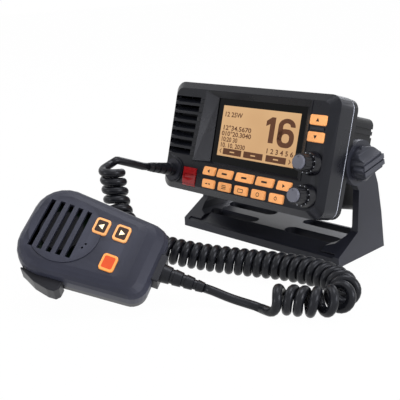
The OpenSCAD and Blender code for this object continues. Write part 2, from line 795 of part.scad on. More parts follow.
module rear_chassis() {
    color("#1f1f23") in_radio() difference() {
        union() {
            round_box(face_w - 1, face_h - 1, rim_r - 0.5, rear_start, rear_start + flange_t);
            translate([0, 0, rear_mid]) round_box(rear_w, rear_h, 6, rear_start + flange_t - e, total_d);
            for (s = [-1, 1]) translate([s * rear_w / 2, pivot_d, 0]) rotate([0, s * 90, 0])
                translate([0, 0, -e]) cylinder(h = boss_x - rear_w / 2, r = boss_r, $fn = 64);
        }
        translate([0, 0, rear_mid])
            round_box(rear_w - 2 * rear_wall, rear_h - 2 * rear_wall, 3, rear_start - 1, cavity_back);
        for (i = [0 : fin_gaps - 1]) translate([(i - (fin_gaps - 1) / 2) * fin_pitch, 0, rear_mid + 8])
            slab(total_d - fin_h, total_d + 1) square([fin_gap_w, rear_h - 16 + 2 * e], center = true);
        for (s = [-1, 1]) for (z = [rear_top - 9, rear_top - 14]) translate([s * rear_w / 2, 0, z])
            slab(rear_start + flange_t + 4, total_d + 1) square([2.4, 2], center = true);
        for (x = [-28, 0, 28]) translate([x, 0, rear_top])
            slab(rear_start + flange_t + 4, total_d + 1) square([16, 2.4], center = true);
        for (s = [-1, 1]) translate([s * boss_x, pivot_d, 0]) rotate([0, 90, 0])
            cylinder(h = 2 * insert_l, r = insert_r, center = true, $fn = 40);
        for (s = [-1, 1]) translate([s * (arm_x - slide_gap), pivot_d, 0]) rotate([0, s * 90, 0])
            cylinder(h = face_w, r = head_r + slide_gap, $fn = 64);
        at_rear(antenna_x) rod(cavity_back - 1, total_d + 1, antenna_r);
        at_rear(power_x) rod(cavity_back - 1, total_d + 1, inlet_r);
        at_rear(data_x) rod(cavity_back - 1, total_d + 1, inlet_r);
    }
}

antenna_x = -44;
power_x = 46;
data_x = 24;
antenna_r = 7.6;
inlet_r = 6;
rear_port_z = -26;
module at_rear(x) { translate([x, 0, rear_port_z]) children(); }

module main_board() {
    post_y = main_board_y + board_t;
    color("#1d5a34") in_radio() {
        translate([0, 0, rear_mid]) slab(main_board_y, post_y) square([rear_w - 2 * rear_wall - 4, rear_h - 2 * rear_wall - 4], center = true);
        for (x = [-1, 1]) for (z = [-1, 1])
            translate([x * (rear_w / 2 - 11), 0, rear_mid + z * (rear_h / 2 - 11)]) rod(post_y - e, cavity_back, 3);
    }
}

module pivot_insert() {
    translate([boss_x - insert_l, pivot_d, 0]) rotate([0, 90, 0]) difference() {
        cylinder(h = insert_l, r = insert_r, $fn = 40);
        translate([0, 0, 1]) cylinder(h = insert_l, r = stud_r + stud_gap, $fn = 40);
    }
}
module pivot_insert_right() { color("#b08d4a") in_radio() pivot_insert(); }
module pivot_insert_left() { color("#b08d4a") in_radio() mirror([1, 0, 0]) pivot_insert(); }

module friction_washer() {
    translate([boss_x, pivot_d, 0]) rotate([0, 90, 0]) difference() {
        cylinder(h = washer_t, r = boss_r + 1, $fn = 64);
        translate([0, 0, -1]) cylinder(h = washer_t + 2, r = stud_r + 0.5, $fn = 40);
    }
}
module friction_washer_right() { color("#303030") in_radio() friction_washer(); }
module friction_washer_left() { color("#303030") in_radio() mirror([1, 0, 0]) friction_washer(); }

module antenna_socket() {
    color("#c9c9cc") in_radio() at_rear(antenna_x) difference() {
        union() {
            rod(cavity_back - 0.5, total_d + 1, antenna_r);
            rod(total_d, total_d + 2, antenna_r + 2.4);
            rod(total_d + 2 - e, total_d + 12, 7.8);
        }
        rod(total_d + 3, total_d + 13, 5.8);
    }
    color("#e8e2d0") in_radio() at_rear(antenna_x) difference() {
        rod(total_d + 3 - e, total_d + 10, 5.8);
        rod(total_d + 4, total_d + 11, 2);
    }
}

module power_inlet() {
    color("#1a1a1a") in_radio() at_rear(power_x) difference() {
        union() {
            rod(cavity_back - 0.5, total_d + 1, inlet_r);
            rod(total_d, total_d + 3, inlet_r + 2);
            rod(total_d + 3 - e, total_d + 9, inlet_r);
        }
        rod(total_d + 1, total_d + 10, inlet_r - 1.4);
    }
    color("#b08d4a") in_radio() at_rear(power_x)
        for (s = [-1, 1]) translate([s * 2, 0, 0]) rod(total_d + 1 - e, total_d + 7, 0.9);
}

module data_inlet() {
    color("#1a1a1a") in_radio() at_rear(data_x) difference() {
        union() {
            rod(cavity_back - 0.5, total_d + 1, inlet_r);
            rod(total_d, total_d + 3, inlet_r + 1.5);
        }
        rod(total_d - 5, total_d + 4, inlet_r - 1.4);
    }
    color("#b08d4a") in_radio() at_rear(data_x)
        for (a = [0 : 90 : 270]) rotate([0, a, 0]) translate([2.2, 0, 0]) rod(total_d - 5 - e, total_d, 0.7);
}

// ---------- Cord gland and boots ----------

module mic_gland() {
    color("#202024") in_radio() translate([gland_x, 0, gland_z]) difference() {
        union() {
            rod(-1.2 - e, front_wall + 2, gland_hole);
            rod(-gland_proud, -1.2, gland_r);
        }
        rod(-gland_proud - 1, front_wall + 3, boot_r[0] - 1);
    }
}

// Ribbed rubber boot that tapers from r[0] to r[1] over its length, along +Z
module boot(length, r, ribs) {
    rib = length / (ribs + 0.6);
    groove = 0.9;
    rotate_extrude($fn = 40) polygon(concat(
        [[0, 0]],
        [
            for (k = [0 : ribs - 1])
                let (a = r[0] + (r[1] - r[0]) * k / ribs, b = r[0] + (r[1] - r[0]) * (k + 0.7) / ribs)
                each [[a, k * rib], [b, (k + 0.68) * rib], [b - groove, (k + 0.74) * rib], [b - groove, (k + 0.96) * rib]]
        ],
        [[r[1], ribs * rib], [r[1] - 0.6, length], [0, length]]
    ));
}

module radio_boot() {
    color("#26262a") in_radio() translate([gland_x, -gland_proud, gland_z]) rotate([90, 0, 0]) {
        boot(boot_l, boot_r, 4);
        translate([0, 0, -front_wall - gland_proud]) cylinder(h = front_wall + gland_proud + 1, r = boot_r[0] - 1, $fn = 48);
    }
}

// ---------- Distress cover and button ----------

module distress_cover() {
    color("#b01818") in_radio() translate([cover_x, 0, cover_z]) {
        difference() {
            union() {
                translate([-cover_w / 2, 0, cover_t / 2]) cube([cover_w, cover_t, cover_h - cover_t / 2]);
                translate([-cover_w / 2, -cover_proud, cover_t / 2 + cover_step])
                    cube([cover_w, cover_t, cover_h - cover_t / 2 - cover_step]);
                translate([0, cover_t / 2, cover_t / 2]) rotate([0, 90, 0])
                    cylinder(h = cover_w, r = cover_t / 2, center = true, $fn = 32);
            }
            slab(-1, -0.2) translate([0, cover_h * 0.55]) square([cover_w - 2, 3.6], center = true);
        }
        translate([0, cover_t / 2, cover_t / 2]) rotate([0, 90, 0])
            cylinder(h = cover_w + 4, r = pin_r, center = true, $fn = 32);
    }
}

module distress_button() {
    color("#c81e1e") in_radio() translate([cover_x, 0, cover_z + cover_h / 2]) {
        rod(cover_t + 0.6, front_wall + 0.3, distress_r);
        rod(front_wall + 0.3 - e, front_wall + 1.3, distress_r + 1.2);
    }
}

// ---------- Keys ----------

module key(w, h, lean) {
    slab(-key_proud, -key_proud + 0.5) key_outline(w - 0.8, h - 0.8, lean);
    slab(-key_proud + 0.5 - e, front_wall + 0.2) key_outline(w, h, lean);
    slab(front_wall + 0.2 - e, front_wall + 0.2 + key_flange) key_outline(w + 1.6, h + 1.6, lean);
}
module soft_key(i) { color("#e8a860") in_radio() at_soft_key(i) key(soft_key_w[i], key_h, key_lean); }
module row_key(i) { color("#e8a860") in_radio() at_row_key(i) key(key_w, key_h, 0); }
module channel_key(i) { color("#e8a860") in_radio() at_channel_key(i) key(channel_key_w, channel_key_h, 0); }
module soft_key_1() { soft_key(0); }
module soft_key_2() { soft_key(1); }
module soft_key_3() { soft_key(2); }
module soft_key_4() { soft_key(3); }
module soft_key_5() { soft_key(4); }
module row_key_1() { row_key(0); }
module row_key_2() { row_key(1); }
module row_key_3() { row_key(2); }
module row_key_4() { row_key(3); }
module power_key() { row_key(4); }
module channel_up_key() { channel_key(0); }
module channel_down_key() { channel_key(1); }

// ---------- Knobs ----------

knob_base = -surround_proud - knob_gap;
skirt_top = knob_base - skirt_h;
knob_front = skirt_top - grip_h;
module at_knob(i) { translate([knob_x, 0, knob_z[i]]) children(); }

module encoder_shaft(i) {
    color("#9a9a9e") in_radio() at_knob(i) rod(knob_front + 2, backlight_back + board_t + 1.5, shaft_r);
}

module knob(i) {
    flutes = 14;
    color("#141416") in_radio() at_knob(i) difference() {
        union() {
            rod(skirt_top, knob_base, knob_r - 1, knob_r);
            rod(knob_front, skirt_top + e, grip_r);
        }
        for (k = [0 : flutes - 1]) rotate([0, 360 * k / flutes, 0]) translate([grip_r + 0.5, 0, 0])
            rod(knob_front - 1, skirt_top - 0.8, 0.9);
        rod(knob_front + 2 - e, 1, shaft_r);
    }
}

module knob_cap(i) {
    color("#6a6c72") in_radio() at_knob(i) difference() {
        rod(knob_front - cap_t, knob_front, cap_r - 0.5, cap_r);
        translate([0, 0, cap_r - 1.6]) rod(knob_front - cap_t - 1, knob_front - cap_t + 0.5, 0.7);
    }
}
module select_shaft() { encoder_shaft(0); }
module select_knob() { knob(0); }
module select_cap() { knob_cap(0); }
module volume_shaft() { encoder_shaft(1); }
module volume_knob() { knob(1); }
module volume_cap() { knob_cap(1); }

// ---------- Microphone ----------

// Outline of the microphone at height z, drawn in by inset; slope pulls the cord end back towards the grille
function mic_ring(z, inset, slope = 0) = [
    for (c = [
        [mic_half - mic_up_r, mic_up - mic_up_r, mic_up_r, 0],
        [mic_up_r - mic_half, mic_up - mic_up_r, mic_up_r, 90],
        [mic_down_r - mic_low_half, slope + mic_down_r - mic_down, mic_down_r, 180],
        [mic_low_half - mic_down_r, slope + mic_down_r - mic_down, mic_down_r, 270]
    ])
        for (k = [0 : corner_steps])
            let (a = c[3] + 90 * k / corner_steps, r = c[2] - inset)
            [c[0] + r * cos(a), c[1] + r * sin(a), z]
];
function front_rings(inset) = [
    mic_ring(-mic_front_d, inset), mic_ring(-8, inset), mic_ring(-4.5, inset + 0.8, 2),
    mic_ring(-2, inset + 2.6, 6), mic_ring(-0.6, inset + 5.2, 10), mic_ring(0, inset + 8.5, 13)
];
function rear_rings(inset) = [
    mic_ring(-mic_front_d - mic_rear_d, inset + 9.5, 4), mic_ring(-mic_front_d - mic_rear_d + 1, inset + 7, 2.6),
    mic_ring(-mic_front_d - mic_rear_d * 0.72, inset + 3.4, 1), mic_ring(-mic_front_d - mic_rear_d * 0.4, inset + 1),
    mic_ring(-mic_front_d, inset)
];
mic_key_places = [
    [mic_key_x, mic_key_y], [mic_key_x, mic_key_y - mic_key_pitch], [mic_power_x, mic_key_y - mic_key_pitch - 0.3]
];

module mic_key_outline() { polygon(rounded(mic_key_w, mic_key_h, 2.2)); }

// Space that the talk lever swings in, cut from both shells
ptt_depth = 4.4;
module ptt_pocket() {
    translate([-mic_half - 20, ptt_top - ptt_l - slide_gap, ptt_z - ptt_d / 2 - slide_gap])
        cube([20 + ptt_depth, ptt_l + 2 * slide_gap, ptt_d + 2 * slide_gap]);
}

module cord_hole() {
    translate([0, -mic_down + 12, block_z]) rotate([90, 0, 0]) cylinder(h = 30, r = mic_boot_r[0] - 1.6, $fn = 40);
}
module block_space(grow) {
    translate([-block_w / 2 - grow, -mic_down - block_l + 2.5 - grow, block_z - 6 - grow])
        cube([block_w + 2 * grow, block_l + 2 * grow, 13 + 2 * grow]);
}

module mic_front_shell() {
    color("#3a3b42") in_mic() difference() {
        union() {
            loft(front_rings(0));
            translate([0, grille_mid, -2]) cylinder(h = 2.6, r = grille_r, $fn = 64);
        }
        translate([0, 0, -mic_wall]) loft([for (r = front_rings(mic_wall)) [for (p = r) [p.x, p.y, max(p.z, -mic_front_d + 0.1) - (p.z == -mic_front_d ? 1 : 0)]]]);
        for (i = [0 : grille_n - 1]) translate([0, grille_y - i * grille_pitch, 0])
            cube([grille_l - abs(i - 1.5) * 0.8, grille_slot, 4 * mic_wall], center = true);
        for (p = mic_key_places) translate([p.x, p.y, -8]) linear_extrude(12) offset(delta = key_gap) mic_key_outline();
        for (s = [0, 1]) translate([-8.6 + 3.4 * s, 2.4 - 1.2 * s, -4]) cylinder(h = 6, r = 0.8, $fn = 20);
        ptt_pocket();
        cord_hole();
        block_space(fit);
    }
}

module mic_rear_shell() {
    post_r = 2.5;
    color("#2c2d33") in_mic() difference() {
        union() {
            difference() {
                loft(rear_rings(0));
                translate([0, 0, mic_wall]) loft([for (r = rear_rings(mic_wall)) [for (p = r) [p.x, p.y, p.z + (p.z == -mic_front_d ? 1 : 0)]]]);
            }
            for (x = [-1, 1]) for (y = [-26, 38]) translate([x * 17, y, -mic_front_d - mic_rear_d + 1])
                cylinder(h = mic_board_z + mic_front_d + mic_rear_d - 1, r = post_r, $fn = 32);
        }
        ptt_pocket();
        cord_hole();
        block_space(fit);
        translate([0, 8, -mic_front_d - mic_rear_d - 1]) cylinder(h = 10, r = 3.2, $fn = 40);
    }
}
mic_board_z = -mic_front_d + 1;

module mic_speaker() {
    top = -2 * mic_wall + mic_wall;
    color("#2a2a2a") in_mic() translate([0, grille_mid + 3, 0]) {
        translate([0, 0, top - 3]) cylinder(h = 3, r = speaker_mic_r, $fn = 48);
        translate([0, 0, top - 7]) cylinder(h = 4 + e, r = 9, $fn = 48);
    }
}

module mic_board() {
    color("#1d5a34") in_mic() translate([-19.5, -mic_down + 18, mic_board_z]) cube([42, mic_down + mic_up - 30, board_t]);
}

module hanger_stud() {
    base = -mic_front_d - mic_rear_d;
    color("#b8b8bc") in_mic() translate([0, 8, 0]) {
        translate([0, 0, base - 1]) cylinder(h = mic_wall + 2, r = 3.1, $fn = 40);
        translate([0, 0, base - 4]) cylinder(h = 4, r = 4, $fn = 40);
        translate([0, 0, base - 6.5]) cylinder(h = 2.5 + e, r1 = hanger_r - 1, r2 = hanger_r, $fn = 48);
    }
}

// Talk lever: swings in about a pin at its upper end
lever_x = -mic_half + 1.6;
module talk_lever() {
    z0 = ptt_z - ptt_d / 2;
    color("#1e1e22") in_mic() {
        translate([0, 0, z0]) linear_extrude(ptt_d) polygon([
            [lever_x, ptt_top], [lever_x, ptt_top - ptt_l], [-mic_half - ptt_out * 0.55, ptt_top - ptt_l],
            [-mic_half - ptt_out * 0.95, ptt_top - ptt_l + 2.5], [-mic_half - ptt_out, ptt_top - ptt_l * 0.75],
            [-mic_half - ptt_out * 0.7, ptt_top - ptt_l * 0.4], [-mic_half - 1, ptt_top - 4], [-mic_half + 0.6, ptt_top]
        ]);
    }
}

module mic_key(i, shade) {
    p = mic_key_places[i];
    under = -mic_wall - 0.2;
    color(shade) in_mic() translate([p.x, p.y, 0]) {
        translate([0, 0, under]) linear_extrude(1.2 - under) mic_key_outline();
        translate([0, 0, under - 1]) linear_extrude(1 + e) offset(delta = 0.8) mic_key_outline();
    }
}
module mic_up_key() { mic_key(0, "#e8a860"); }
module mic_down_key() { mic_key(1, "#e8a860"); }
module mic_power_key() { mic_key(2, "#e06a30"); }

module mic_cord_block() {
    color("#26262a") in_mic() difference() {
        block_space(0);
        cord_hole();
    }
}

module mic_boot() {
    color("#26262a") in_mic() translate([0, mic_boot_start, block_z]) rotate([90, 0, 0]) {
        boot(mic_boot_l, mic_boot_r, 3);
        translate([0, 0, -14]) cylinder(h = 15, r = mic_boot_r[0] - 1.6, $fn = 40);
    }
}

// ---------- Cord pieces ----------

module cord_lead() { color("#1b1b1e") free_cord(lead_route); }
module cord_coil() { color("#1b1b1e") coil(); }
module cord_tail() { color("#1b1b1e") free_cord(tail_route); }

bracket();
clamp_knob_left();
clamp_knob_right();
front_housing();
screen_surround();
screen_lens();
lcd_panel();
backlight_frame();
front_board();
speaker();
case_gasket();
rear_chassis();
main_board();
pivot_insert_left();
pivot_insert_right();
friction_washer_left();
friction_washer_right();
antenna_socket();
power_inlet();
data_inlet();
mic_gland();
radio_boot();
distress_cover();
distress_button();
soft_key_1();
soft_key_2();
soft_key_3();
soft_key_4();
soft_key_5();
row_key_1();
row_key_2();
row_key_3();
row_key_4();
power_key();
channel_up_key();
channel_down_key();
select_shaft();
select_knob();
select_cap();
volume_shaft();
volume_knob();
volume_cap();
mic_front_shell();
mic_rear_shell();
mic_speaker();
mic_board();
hanger_stud();
talk_lever();
mic_up_key();
mic_down_key();
mic_power_key();
mic_cord_block();
mic_boot();
cord_lead();
cord_coil();
cord_tail();
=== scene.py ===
import json
import math

import bmesh
import bpy
import numpy as np
from mathutils import Matrix, Vector


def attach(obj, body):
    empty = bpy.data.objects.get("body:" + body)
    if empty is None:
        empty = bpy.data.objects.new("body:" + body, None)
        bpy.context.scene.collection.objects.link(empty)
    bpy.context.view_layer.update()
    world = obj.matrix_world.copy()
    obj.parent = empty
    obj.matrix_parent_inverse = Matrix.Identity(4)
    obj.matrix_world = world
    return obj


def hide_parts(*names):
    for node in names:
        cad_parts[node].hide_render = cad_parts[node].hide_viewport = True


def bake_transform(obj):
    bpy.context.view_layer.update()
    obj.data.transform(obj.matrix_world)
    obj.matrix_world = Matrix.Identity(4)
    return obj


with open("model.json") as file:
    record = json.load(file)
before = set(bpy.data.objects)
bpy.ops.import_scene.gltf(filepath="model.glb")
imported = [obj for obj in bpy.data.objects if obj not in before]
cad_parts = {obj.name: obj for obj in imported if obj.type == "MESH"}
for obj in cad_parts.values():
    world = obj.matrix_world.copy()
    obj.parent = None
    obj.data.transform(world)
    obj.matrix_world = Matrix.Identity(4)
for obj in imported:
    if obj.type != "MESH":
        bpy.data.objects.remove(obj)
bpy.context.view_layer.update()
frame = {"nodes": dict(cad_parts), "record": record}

nodes = frame["nodes"]

MM = 0.001  # metres


def add_object(name, data):
    """A new object of the scene, from a mesh, text, camera or light."""
    made = bpy.data.objects.new(name, data)
    bpy.context.scene.collection.objects.link(made)
    return made


# ---------- Camera, at the photograph's viewing angle ----------

PHOTO_WIDTH = 400  # pixels
FOCAL_LENGTH = 736.65  # pixels
SENSOR = 36  # mm
AZIMUTH, ELEVATION, ROLL = math.radians(46.27), math.radians(16.49), math.radians(-2.89)
CAMERA_PLACE = (0.3899, -0.4686, 0.2135)

back = Vector((
    math.sin(AZIMUTH) * math.cos(ELEVATION),
    -math.cos(AZIMUTH) * math.cos(ELEVATION),
    math.sin(ELEVATION),
))
level_right = Vector((math.cos(AZIMUTH), math.sin(AZIMUTH), 0))
level_up = back.cross(level_right)
right = level_right * math.cos(ROLL) + level_up * math.sin(ROLL)
up = level_up * math.cos(ROLL) - level_right * math.sin(ROLL)
cam = add_object("camera", bpy.data.cameras.new("camera"))
cam.data.sensor_width = SENSOR
cam.data.lens = FOCAL_LENGTH / PHOTO_WIDTH * SENSOR
cam.data.clip_start = 0.01
cam.data.clip_end = 20
cam.matrix_world = Matrix.Translation(CAMERA_PLACE) @ Matrix((right, up, back)).transposed().to_4x4()
bpy.context.scene.camera = cam

# ---------- The radio's places, in mm ----------

TILT = math.radians(16)
PIVOT_FRONT = 10
PIVOT_Z = 77.3
PIVOT_D = 40.5  # from the face back to the pivot
FACE_W = 172
FACE_H = 92
RIGHT_EDGE = FACE_W / 2
TOP_EDGE = FACE_H / 2
LENS_X = 13
LENS_TOP = 11
LENS_H = 52.6
LENS_DROP = 4
LENS_FOOT = TOP_EDGE - LENS_TOP - LENS_H
KEY_PROUD = 1.6
ROW_GAP = 7.9
ROW_PITCH = 10.4
KEY_PITCH = 18
ROW_MID = LENS_X - 3.8
SOFT_ROW_Z = LENS_FOOT - ROW_GAP
LOW_ROW_Z = SOFT_ROW_Z - ROW_PITCH
SOFT_KEY_X = [ROW_MID + x for x in (-37, -19.4, 1.8, 22.6, 41.6)]
ROW_KEY_X = [ROW_MID + (i - 2) * KEY_PITCH for i in range(5)]
CHANNEL_Z = TOP_EDGE - 19.8
CHANNEL_PITCH = 12.4
KNOB_X = RIGHT_EDGE - 14
VOLUME_Z = 16.5 - TOP_EDGE
SELECT_Z = VOLUME_Z + 24
SKIRT_PROUD = 6.9
GLAND_X = 16 - RIGHT_EDGE
GLAND_Z = 16 - TOP_EDGE
GLAND_PROUD = 2.4
BOOT_L = 28

X = Vector((1, 0, 0))
OUT = Vector((0, -math.cos(TILT), math.sin(TILT)))
RISE = Vector((0, math.sin(TILT), math.cos(TILT)))
PIVOT = Vector((0, -PIVOT_FRONT, PIVOT_Z)) * MM


def on_face(x, depth, height):
    """Point of the radio: right of the face's middle, behind the face and above its middle, in mm."""
    return PIVOT + (X * x - OUT * (depth - PIVOT_D) + RISE * height) * MM


# ---------- The microphone's places, in mm ----------

MIC_YAW, MIC_PITCH, MIC_LEAN = math.radians(32), math.radians(18), math.radians(51)
MIC_PLACE = (-8, -193.5, 48.4)
MIC_KEY_X = 11.2
MIC_KEY_Y = -3.4
MIC_KEY_PITCH = 15.1
MIC_KEY_PROUD = 1.2
MIC_POWER_X = -12.7
MIC_POWER_Y = -18.8
MIC_DOWN = 49.5
MIC_BOOT_START = 4  # past the microphone's low edge
MIC_BOOT_L = 30
MIC_BOOT_Z = -14

mic_along = Vector((
    math.cos(MIC_YAW) * math.cos(MIC_PITCH),
    math.sin(MIC_YAW) * math.cos(MIC_PITCH),
    -math.sin(MIC_PITCH),
))
mic_level = mic_along.cross(Vector((0, 0, 1))) / math.cos(MIC_PITCH)
mic_rise = mic_level.cross(mic_along)
MIC_X = mic_rise * math.cos(MIC_LEAN) - mic_level * math.sin(MIC_LEAN)
MIC_Y = -mic_along
MIC_OUT = mic_level * math.cos(MIC_LEAN) + mic_rise * math.sin(MIC_LEAN)


def on_mic(x, y, z):
    """Point of the microphone: across its face, up its face and out of it, in mm."""
    return (Vector(MIC_PLACE) + MIC_X * x + MIC_Y * y + MIC_OUT * z) * MM


# ---------- Cords ----------

RUN_D = 0.0063  # thickness of the lead and the tail, in metres
COIL_D = 0.0066  # thickness of the coil's cord
CURL_R = 0.0073  # from the coil's middle line to the middle of its cord
CURL_STEP = 0.0069  # from curl to curl where the coil runs straight
END_ANGLE = 8  # degrees of the last, unfinished curl
# Middle line of the coil, from the radio's lead to the microphone's tail, in mm
COIL_ROUTE = [
    [-65, -128, 76], [-63.5, -128, 64], [-60.5, -129, 52], [-55, -131, 41], [-44, -133, 31], [-30, -130, 24],
    [-13, -123, 19], [5, -112, 15], [24, -99, 12], [42, -89, 10.7], [60, -81, 10.7], [80, -75, 10.7],
    [99, -73, 10.7], [116, -77, 10.7], [128, -87, 10.7], [131, -100, 10.7], [125, -112, 10.7],
    [114, -118.5, 10.7], [105, -122.5, 10.7], [99, -128, 10.7], [97, -135, 10.7],
]
LEAD_MID = [[-71, -104, 74.5]]
TAIL_MID = [[69, -136, 5.6]]
ROUTE_STEPS = 10
SOFTENINGS = 30
MOST_SLOWING = 0.7  # largest share by which a bend slows the curls
CURL_STEPS = 22
END_TURN = 0.02  # part of a curl that gives the direction of the coil's ends
COIL_SIDES = 14
RUN_STEPS = 14
RUN_SIDES = 16


def curve(points, steps):
    """Catmull-Rom curve through the points."""
    p = np.array(points, float)
    out = []
    for i in range(len(p) - 1):
        a = 2 * p[0] - p[1] if i == 0 else p[i - 1]
        b, c = p[i], p[i + 1]
        d = 2 * c - b if i == len(p) - 2 else p[i + 2]
        for k in range(steps):
            t = k / steps
            out.append(0.5 * (2 * b + (c - a) * t + (2 * a - 5 * b + 4 * c - d) * t ** 2
                              + (3 * b - a - 3 * c + d) * t ** 3))
    return np.array(out + [p[-1]])


def unit(v):
    """A vector, or each row of an array, at length 1."""
    v = np.array(v, float)
    return v / np.linalg.norm(v, axis=-1, keepdims=True)


def tube(name, points, refs, sides, radius):
    """A closed round tube along the points. Each ring of its corners starts towards its reference."""
    points, refs = np.array(points), np.array(refs)
    n = len(points)
    i = np.arange(n)
    t = unit(points[np.minimum(i + 1, n - 1)] - points[np.maximum(i - 1, 0)])
    u = unit(refs - np.sum(refs * t, axis=1)[:, None] * t)
    v = np.cross(t, u)
    angles = [2 * math.pi * s / sides for s in range(sides)]
    verts = [tuple(points[k] + radius * (math.cos(a) * u[k] + math.sin(a) * v[k]))
             for k in range(n) for a in angles]
    faces = []
    for k in range(n - 1):
        for s in range(sides):
            after = (s + 1) % sides
            faces.append((k * sides + s, k * sides + after, (k + 1) * sides + after, (k + 1) * sides + s))
    faces.append(tuple(range(sides))[::-1])
    faces.append(tuple((n - 1) * sides + s for s in range(sides)))
    mesh = bpy.data.meshes.new(name)
    mesh.from_pydata(verts, [], faces)
    for face in mesh.polygons:
        face.use_smooth = len(face.vertices) == 4
    return add_object(name, mesh)


# The coil's middle line, softened, with its direction and how fast the curls turn along it
line = curve(np.array(COIL_ROUTE) * MM, ROUTE_STEPS)
for _ in range(SOFTENINGS):
    line = np.vstack([line[:1], (line[:-2] + 2 * line[1:-1] + line[2:]) / 4, line[-1:]])
n_line = len(line)
ahead = np.minimum(np.arange(n_line) + 1, n_line - 1)
behind = np.maximum(np.arange(n_line) - 1, 0)
line_dir = unit(line[ahead] - line[behind])
bend = np.linalg.norm(line_dir[ahead] - line_dir[behind], axis=1)
bend = bend / np.linalg.norm(line[ahead] - line[behind], axis=1)
rate = (1 - np.minimum(CURL_R * bend, MOST_SLOWING)) / CURL_STEP
seg = np.linalg.norm(line[1:] - line[:-1], axis=1)
turn_at = np.concatenate([[0], np.cumsum(seg * (rate[1:] + rate[:-1]) / 2)])
turns = math.floor(turn_at[-1]) + END_ANGLE / 360

# A reference direction that is carried along the middle line without twist
line_up = [np.array([-1.0, 0, 0])]
for i in range(1, n_line):
    u = line_up[-1]
    line_up.append(unit(u - (u @ line_dir[i]) * line_dir[i]))
line_up = np.array(line_up)


def pick(turn, values):
    """Value, at a number of turns, of an array that follows the middle line."""
    return np.array([np.interp(turn, turn_at, values[:, k]) for k in range(3)])


def coil_radial(turn):
    """Direction from the middle line to the wound cord."""
    u = unit(pick(turn, line_up))
    t = unit(pick(turn, line_dir))
    a = -2 * math.pi * turn
    return math.cos(a) * u + math.sin(a) * np.cross(t, u)


def coil_point(turn):
    return pick(turn, line) + CURL_R * coil_radial(turn)


def free_path(route):
    """A smooth path between two fixed straight ends."""
    return np.vstack([route[0], curve(route[1:-1], RUN_STEPS), route[-1]])


count = round(turns * CURL_STEPS)
wound = [coil_point(k * turns / count) for k in range(count + 1)]
radials = [coil_radial(k * turns / count) for k in range(count + 1)]
first, last = wound[0], wound[-1]
first_dir = unit(coil_point(END_TURN) - first)
last_dir = unit(last - coil_point(turns - END_TURN))
coil_path = [first - first_dir * RUN_D, *wound, last + last_dir * RUN_D]
coil = tube("curly_cord", coil_path, [radials[0], *radials, radials[-1]], COIL_SIDES, COIL_D / 2)

boot_end = np.array(on_face(GLAND_X, -GLAND_PROUD - BOOT_L, GLAND_Z))
mic_boot_end = np.array(on_mic(0, -MIC_DOWN - MIC_BOOT_START - MIC_BOOT_L, MIC_BOOT_Z))
lead_path = free_path([
    boot_end, boot_end + np.array(OUT) * RUN_D, *(np.array(LEAD_MID) * MM),
    first - first_dir * 2 * RUN_D, first - first_dir * RUN_D,
])
tail_path = free_path([
    mic_boot_end, mic_boot_end + np.array(mic_along) * RUN_D, *(np.array(TAIL_MID) * MM),
    last + last_dir * 2 * RUN_D, last + last_dir * RUN_D,
])
lead = tube("cord_lead_run", lead_path, [[0, 0, 1]] * len(lead_path), RUN_SIDES, RUN_D / 2)
tail = tube("cord_tail_run", tail_path, [[0, 0, 1]] * len(tail_path), RUN_SIDES, RUN_D / 2)
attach(coil, "base")
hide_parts("cord_coil")
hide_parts("cord_lead")
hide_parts("cord_tail")
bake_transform(lead)
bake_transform(tail)

# ---------- Shader helpers ----------

# Places of the colour sockets on a Mix node
MIX_A, MIX_B, MIX_RESULT = 6, 7, 2


def set_inputs(node, **values):
    """Sets a node's inputs by their names, with _ for a space."""
    for socket, value in values.items():
        node.inputs[socket.replace("_", " ")].default_value = value


def add_node(tree, kind, **values):
    """A new shader node with some of its inputs set."""
    node = tree.nodes.new("ShaderNode" + kind)
    set_inputs(node, **values)
    return node


def new_material(name):
    """A new material, its node tree and its shader."""
    made = bpy.data.materials.new(name)
    made.use_nodes = True
    return made, made.node_tree, made.node_tree.nodes["Principled BSDF"]


def colour_ramp(tree, start, start_colour, end, end_colour):
    """A ramp from one colour to another."""
    ramp = add_node(tree, "ValToRGB")
    low, high = ramp.color_ramp.elements
    low.position, low.color = start, start_colour
    high.position, high.color = end, end_colour
    return ramp


def noise(tree, coords, **values):
    """Noise in the space of the object."""
    made = add_node(tree, "TexNoise", **values)
    tree.links.new(coords.outputs["Object"], made.inputs["Vector"])
    return made


def seen_rays(tree):
    """Socket that is 1 for rays of the camera, reflections and glass, and 0 for those that light things."""
    rays = add_node(tree, "LightPath")
    total = rays.outputs["Is Camera Ray"]
    for kind in ("Is Glossy Ray", "Is Transmission Ray"):
        largest = add_node(tree, "Math")
        largest.operation = "MAXIMUM"
        tree.links.new(total, largest.inputs[0])
        tree.links.new(rays.outputs[kind], largest.inputs[1])
        total = largest.outputs[0]
    return total


def mix_shaders(tree, share, lit, seen, output):
    """Sends two shaders to the output, the second with the given share."""
    mix = add_node(tree, "MixShader")
    tree.links.new(share, mix.inputs["Fac"])
    tree.links.new(lit.outputs[0], mix.inputs[1])
    tree.links.new(seen.outputs[0], mix.inputs[2])
    tree.links.new(mix.outputs[0], tree.nodes[output].inputs["Surface"])


# ---------- Materials ----------

COAT_ROUGH = 0.08
DRIFT_SCALE = 45
DRIFT_LOW, DRIFT_HIGH = 0.3, 0.7  # share of the noise at which the colour is darkest and lightest
GLOSS_LESS, GLOSS_MORE = 0.06, 0.08  # how far the roughness drifts down and up
GRAIN_DEPTH = 0.00012
EDGE_FROM, EDGE_TO = 0.52, 0.62  # pointiness at which an edge starts and stops turning pale
EDGE_PALER, EDGE_PLUS = 2.2, 0.02  # how much paler an edge is, as rubbed wear and as a painted highlight


def linear(level):
    """One channel of a colour, from its 0 to 255 level on a screen to its share of light."""
    share = level / 255
    return share / 12.92 if share <= 0.04045 else ((share + 0.055) / 1.055) ** 2.4


